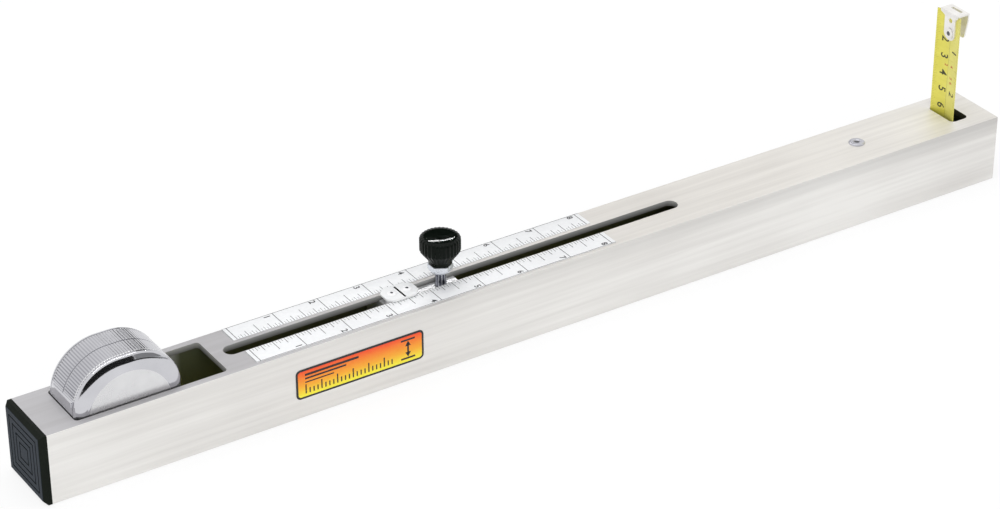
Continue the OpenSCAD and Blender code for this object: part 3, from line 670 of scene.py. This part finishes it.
# The smooth pad below the ribs, at the end towards the cap
pad_t, pad_half = 2.6, 10
bm = bmesh.new()
slab(
    bm, (case_low.x + 0.03, -pad_half, case_mid.z - 3),
    (case_low.x + pad_t, pad_half, case_mid.z + 12.2), 0.35, 3,
)
add_piece("case_end_pad", bm, chrome, "tube_body")
steel = finish(
    "bright_steel", (0.55, 0.56, 0.58), (0.68, 0.69, 0.71), (0.2, 0.36), metal=1.0,
    grain=(500, 500, 500), bump=0.06,
)
dress("case_screws", steel)
dress("mount_screws", steel)
black_block = finish(
    "black_block_plastic", (0.006, 0.008, 0.007), (0.012, 0.015, 0.013), (0.5, 0.62),
    grain=(800, 800, 800), bump=0.15, shine=0.15,
)
dress("case_spacer", black_block)

# Inside the case a nylon spool turns on a slotted steel axle. A flat spring in its drum pulls the
# blade back, and the rest of the blade is wound on it.
nylon = finish(
    "natural_nylon", (0.72, 0.70, 0.62), (0.82, 0.80, 0.72), (0.4, 0.55), grain=(200, 200, 200))
dark_steel_and_hollow_shade = finish(
    "blackened_steel_and_hollow_shade", (0.09, 0.09, 0.10), (0.16, 0.16, 0.17), (0.3, 0.45), metal=0.9)
dress("spool", nylon)
dress("spool_axle", steel)
dress("return_spring", dark_steel_and_hollow_shade)

# The blade is spring steel strip, hollow along its middle and coated in yellow, with fine printed
# marks along both edges. It runs along the floor, turns up in the guide and stands out of the tube.
coating = (0.70, 0.64, 0.085), (0.80, 0.74, 0.13), (0.26, 0.38)
coating_grain = {"grain": (120, 120, 500), "bump": 0.05, "cloud": 60}
blade_yellow = finish("yellow_blade_coating", *coating, **coating_grain)
dress("blade_coil", blade_yellow)
dress("blade_run", blade_yellow)

riser_low, riser_high = corners("blade_riser")
half_t = 0.1
blade_w = riser_high.y - riser_low.y
sag = riser_high.x - riser_low.x - 2 * half_t
riser_x = riser_high.x - half_t
hollow_r = ((blade_w / 2) ** 2 + sag ** 2) / (2 * sag) - half_t


def on_blade(y, proud=0.0):
    """X of the riser's hollow face at that distance from its middle, and a little proud of it."""
    return riser_x - half_t - (hollow_r - math.sqrt(hollow_r ** 2 - y ** 2)) - proud


printed_yellow = finish("printed_blade_coating", *coating, **coating_grain)
tree = printed_yellow.node_tree
across_blade, up_blade = place_on(tree)[1:]


def tick_rows(pitch, width, edge_from, edge_sign):
    """1 on lines of that width and pitch up the blade, from edge_from outwards on one side."""
    phase = reckon(tree, "MODULO", reckon(tree, "ADD", up_blade, 1.0), pitch)
    line = reckon(tree, "LESS_THAN", phase, width)
    beside = reckon(tree, "MULTIPLY", across_blade, edge_sign)
    return reckon(tree, "MULTIPLY", line, reckon(tree, "GREATER_THAN", beside, edge_from))


# A line up the middle, millimetres and half centimetres on one side of it, and sixteenths and
# quarters of an inch on the other
rows = reckon(tree, "LESS_THAN", reckon(tree, "ABSOLUTE", across_blade), 0.00012)
for row in (
    (0.001, 0.00013, 0.0081, 1), (0.005, 0.00018, 0.0072, 1),
    (0.0254 / 16, 0.00016, 0.0080, -1), (0.0254 / 4, 0.0002, 0.0068, -1),
):
    rows = reckon(tree, "MAXIMUM", rows, tick_rows(*row))
# The near half of the hollow face is painted paler, as painted light
painted_light_yellow, blade_black = (0.82, 0.80, 0.42), (0.10, 0.09, 0.02)
lit_half_share = reckon(tree, "MULTIPLY", reckon(tree, "LESS_THAN", across_blade, 0.0), 0.14)
lit_half_colour = mixed(tree, lit_half_share, own_colour(tree), painted_light_yellow)
coat(tree, mixed(tree, reckon(tree, "MULTIPLY", rows, 0.45), lit_half_colour, blade_black))

bm = bmesh.new()
bmesh.ops.create_grid(bm, x_segments=14, y_segments=90, size=0.5)
for vert in bm.verts:
    y = -vert.co.x * blade_w
    z = riser_low.z + (vert.co.y + 0.5) * (riser_high.z - riser_low.z)
    vert.co = (on_blade(y), y, z)
bmesh.ops.recalc_face_normals(bm, faces=bm.faces)
if sum(face.normal.x for face in bm.faces) > 0:
    bmesh.ops.reverse_faces(bm, faces=bm.faces)
bmesh.ops.solidify(bm, geom=bm.faces, thickness=2 * half_t)
riser = add_piece("blade_riser_strip", bm, printed_yellow, None, smooth=40)
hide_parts("blade_riser")
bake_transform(riser)

blade_ink = finish("olive_blade_ink", (0.035, 0.035, 0.010), (0.06, 0.06, 0.018), (0.4, 0.5))
red_ink = finish("red_blade_ink", (0.45, 0.07, 0.02), (0.55, 0.10, 0.03), (0.4, 0.5))
# Lays a figure on the hollow face with its top to the right, seen from the case
turned = Matrix(((0, 0, -1), (0, -1, 0), (-1, 0, 0))).to_4x4()


def blade_print(name, figures, material, body="tip"):
    """Printed figures on the blade's hollow face, each given as text, height, Y and Z."""
    bm = bmesh.new()
    for text, tall, y, z in figures:
        figure(bm, text, tall, Matrix.Translation((0, y, z)) @ turned)
    for vert in bm.verts:
        vert.co.x = on_blade(vert.co.y, 0.03 if vert.co.x < 0 else -0.015)
    return add_piece(name, bm, material, body, merge=False)


blade_print("blade_figures", [
    ("2", 5.0, 3.2, 82.2), ("3", 5.0, 3.2, 72.2), ("4", 5.0, 3.2, 62.2), ("5", 5.0, 3.2, 52.2),
    ("1", 4.4, -4.6, 76.6), ("2", 4.4, -4.6, 51.6)], blade_ink)
blade_print("blade_red_figures", [
    ("2", 2.2, 1.5, 67.3), ("4", 2.2, -3.0, 67.8), ("5", 2.2, -3.0, 60.7), ("6", 2.2, -3.0, 57.8),
], red_ink)
# The lowest figure rides on no body, and its place is baked into its mesh.
low_figure = blade_print("blade_low_figure", [("6", 5.0, 3.2, 42.1)], blade_ink, None)
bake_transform(low_figure)

# The hook is pressed from nickel-plated steel: a tab bent to the blade's hollow face, a flat top
# with a slot for a nail, and a leg turned down behind. A tubular rivet holds it to the blade.
nickel = finish(
    "nickel_hook", (0.80, 0.78, 0.75), (0.90, 0.88, 0.85), (0.34, 0.46), metal=0.35,
    grain=(250, 250, 250), bump=0.08, cloud=120,
)
dress("tip_hook", nickel)
dress("hook_rivet", nickel)
# The hollow of the tubular rivet, closed by a dark disc as painted shade
head_low, head_high = corners("hook_rivet")
head_mid = (head_low + head_high) / 2
head_face = (head_low.x, head_mid.y, head_mid.z)
bm = bmesh.new()
lathe(bm, [(0, 0.01), (1.2, 0.02), (1.4, -0.03)], head_face, (-1, 0, 0), 32)
add_piece("hook_rivet_hollow_shade", bm, dark_steel_and_hollow_shade, "tip")

# The guide is a block of black plastic in the tube's right end, with a cheek screwed to its front.
# It turns the blade up through the exit hole, and a domed blind rivet from above holds it.
dress("tape_guide", black_block)
dress("guide_cheek", black_block)
dress("guide_screws", steel)
rivet_metal = finish(
    "dull_rivet_metal", (0.42, 0.42, 0.46), (0.56, 0.56, 0.60), (0.3, 0.42), metal=0.9,
    grain=(400, 400, 400), bump=0.06,
)
rivet_low, rivet_high = corners("guide_rivet")
rivet_mid = Vector(((rivet_low.x + rivet_high.x) / 2, 0, 0))
tail, grip = rivet_low.z, tube_side
bore_r = 1.3
bm = bmesh.new()
lathe(bm, [
    (bore_r, tail + 4), (2.3, tail + 4), (3.5, tail + 4.0), (3.6, tail + 3.5), (3.4, tail + 0.4),
    (2.9, tail), (bore_r, tail), (bore_r, tail + 2)], rivet_mid, (0, 0, 1), 48)
lathe(bm, [
    (bore_r, grip - 8), (2.4, grip - 8), (2.4, grip), (4.4, grip), (4.4, grip + 0.25),
    (4.15, grip + 0.62), (3.6, grip + 0.92), (2.9, grip + 1.08), (2.2, grip + 1.06),
    (1.7, grip + 0.86), (1.42, grip + 0.5), (bore_r, grip), (bore_r, grip - 8)],
    rivet_mid, (0, 0, 1), 64)
blind_rivet = add_piece("guide_rivet_domed", bm, rivet_metal, "tube_body", smooth=40)
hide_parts("guide_rivet")
# Its hollow, closed by a dark disc as painted shade
hollow = [(0, grip + 0.3), (1.0, grip + 0.35), (1.36, grip + 0.45), (1.38, grip)]
bm = bmesh.new()
lathe(bm, hollow, rivet_mid, (0, 0, 1), 32)
add_piece("guide_rivet_hollow_shade", bm, dark_steel_and_hollow_shade, "tube_body")

# The carriage is a milled aluminium block that slides inside the tube, with a low rib running in
# the slot. A steel clamp plate under it holds the blade, so that both move together.
milled = finish(
    "milled_aluminium", (0.60, 0.60, 0.61), (0.74, 0.74, 0.75), (0.3, 0.44), metal=0.7,
    grain=(30, 500, 500), bump=0.15, cloud=60,
)
dress("carriage_block", milled)
dress("blade_clamp", steel)
dress("clamp_screws", dark_steel_and_hollow_shade)

# The cursor is a small plate of milky acrylic with cut corners and polished edges. It is screwed
# down on two sleeves that keep it just clear of the scales, and carries a black hairline.
acrylic = finish(
    "milky_acrylic", (0.95, 0.96, 0.96), (0.98, 0.98, 0.98), (0.2, 0.3),
    grain=(200, 200, 200), bump=0.02,
)
acrylic_shader = acrylic.node_tree.nodes["Principled BSDF"]
acrylic_shader.inputs["Transmission Weight"].default_value = 0.15
acrylic_shader.inputs["IOR"].default_value = 1.12
plate_low, plate_high = corners("cursor_plate")
cut_corner, polished_edge = 3.4, 0.12
bm = bmesh.new()
slab(bm, plate_low, plate_high)
bevel(bm, edges_along(bm, 2, 0.5), cut_corner, 1)
bevel(bm, bm.edges, polished_edge, 2)
cursor = add_piece("cursor_plate_clear", bm, acrylic, "carriage")
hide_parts("cursor_plate")

hair_ink = finish(
    "hairline_ink", (0.003, 0.003, 0.003), (0.008, 0.007, 0.006), (0.6, 0.7), shine=0.02)
cursor_x = (plate_low.x + plate_high.x) / 2
hair_half = 0.5
bm = bmesh.new()
slab(
    bm, (cursor_x - hair_half, plate_low.y + 0.3, plate_high.z - 0.01),
    (cursor_x + hair_half, plate_high.y - 1.5, plate_high.z + 0.03),
)
add_piece("cursor_hairline", bm, hair_ink, "carriage")

# The screws and sleeves are painted near white and hardly metallic, brighter than bare steel:
# painted light
steel_painted_bright = finish(
    "satin_steel_painted_bright", (0.86, 0.86, 0.86), (0.94, 0.94, 0.94), (0.5, 0.62), metal=0.05,
    grain=(400, 400, 400), bump=0.06,
)
dress("cursor_spacers", steel_painted_bright)
screws_low, screws_high = corners("cursor_screws")
screw_end, screw_top, plate_top = screws_low.z, screws_high.z, plate_high.z
screw_apart = 4.4
bm, sockets = bmesh.new(), bmesh.new()
for way in (-1, 1):
    screw_at = Vector((cursor_x + way * screw_apart, 0, 0))
    lathe(bm, [
        (0, screw_end), (1.0, screw_end), (1.25, screw_end + 0.3), (1.25, plate_top),
        (2.4, plate_top), (2.4, screw_top - 0.35), (2.1, screw_top - 0.1), (1.7, screw_top),
        (0.85, screw_top), (0.85, screw_top - 0.35), (0, screw_top - 0.4)],
        screw_at, (0, 0, 1), 48)
    socket = [(0, screw_top - 0.36), (0.8, screw_top - 0.3), (0.84, screw_top - 0.02)]
    lathe(sockets, socket, screw_at, (0, 0, 1), 6)
screws = add_piece("cursor_screws_flat", bm, steel_painted_bright, "carriage")
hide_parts("cursor_screws")
# The dark inserts in the screws' sockets are painted shade
add_piece("cursor_screw_socket_shade", sockets, dark_steel_and_hollow_shade, "carriage")

# The thumb screw is a steel stud moulded into a black fluted knob, locked by a tapered nut. Its
# nylon foot presses the blade against the clamp plate.
knob_low, knob_high = corners("knob")
knob_mid = Vector(((knob_low.x + knob_high.x) / 2, (knob_low.y + knob_high.y) / 2, knob_low.z))


def flute(bm, beyond, count, depth, valley=None):
    """Cuts flutes or a knurl into what is further than beyond from the screw's axis, as deep as
    depth says for that distance, and notes their valleys in the layer where one is given."""
    for vert in bm.verts:
        across = vert.co - knob_mid
        reach = math.hypot(across.x, across.y)
        if reach > beyond:
            low = groove(math.atan2(across.y, across.x), count)
            scale = 1 - depth(reach) * low / reach
            vert.co.x = knob_mid.x + across.x * scale
            vert.co.y = knob_mid.y + across.y * scale
            if valley is not None:
                vert[valley] = low


knob_plastic = finish(
    "black_knob_plastic", (0.002, 0.0036, 0.0024), (0.004, 0.0065, 0.0045), (0.05, 0.08),
    grain=(600, 600, 600), bump=0.02, cloud=80, shine=0.09,
)
flutes, flute_depth, flutes_from = 30, 0.42, 9.0
bm = bmesh.new()
lathe(bm, [
    (0, 0), (4.8, 0), (5.4, 0.15), (5.9, 0.5), (6.1, 1.0), (6.1, 2.2), (6.3, 2.7), (9.9, 7.4),
    (10.3, 8.0), (10.4, 8.4), (10.4, 14.0), (10.3, 14.5), (9.9, 15.0), (9.2, 15.25),
    (7.0, 15.45), (4.0, 15.55), (0, 15.6)], knob_mid, (0, 0, 1), flutes * 8)
flute(bm, flutes_from, flutes,
      lambda reach: flute_depth * part_way(reach, flutes_from, flutes_from + 0.9))
knob = add_piece("knob_fluted", bm, knob_plastic, "thumb_screw", smooth=50)
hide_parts("knob")
nut_zinc = finish(
    "bright_zinc_nut", (0.74, 0.77, 0.83), (0.84, 0.87, 0.92), (0.22, 0.34), metal=0.8,
    grain=(400, 400, 400), bump=0.05,
)
dress("knob_nut", nut_zinc)

stud_steel = finish(
    "zinc_stud", (0.56, 0.58, 0.62), (0.72, 0.74, 0.78), (0.22, 0.36), metal=1.0,
    grain=(400, 400, 400), bump=0.06,
)
# Its knurl valleys are painted dark, as painted shade
soil_valleys(stud_steel, (0.035, 0.035, 0.085))
stud_low, stud_high = corners("knob_stud")
stud_end, stud_top = stud_low.z, stud_high.z
shank_z, neck = stud_end + 25, 2.6
bm = bmesh.new()
lathe(bm, [
    (0, stud_end), (1.7, stud_end), (2.0, stud_end + 0.3), (2.0, stud_end + 2.2),
    (2.5, stud_end + neck), (2.5, shank_z), (2.88, shank_z + 0.4), (2.88, stud_top - 0.3),
    (2.6, stud_top), (0, stud_top)], (knob_mid.x, knob_mid.y, 0), (0, 0, 1), 160)
# Straight knurling that grips the knob and the nut
knurls, knurl_share, knurled_from = 10, 0.11, 2.7
valley = bm.verts.layers.float.new("valley")
flute(bm, knurled_from, knurls, lambda reach: knurl_share * reach, valley)
# The thread, one ridge wound up the stud
pitch, steps_a_turn = 1.27, 24
turns = int((shank_z - stud_end - neck - 0.6) / pitch)
ridge = [(2.42, 0), (2.9, 0.42), (2.9, 0.56), (2.42, 0.98)]
points = [bm.verts.new((knob_mid.x + r, knob_mid.y, stud_end + neck + up)) for r, up in ridge]
edges = [bm.edges.new(pair) for pair in zip(points, points[1:] + points[:1])]
bmesh.ops.spin(
    bm, geom=points + edges, cent=knob_mid, axis=(0, 0, 1), dvec=(0, 0, pitch / steps_a_turn),
    angle=full_turn * turns, steps=steps_a_turn * turns, use_merge=False, use_normal_flip=False,
    use_duplicate=False,
)
stud = add_piece("knob_stud_threaded", bm, stud_steel, "thumb_screw", smooth=40)
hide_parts("knob_stud")
dress("stud_foot", nylon)

low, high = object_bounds()
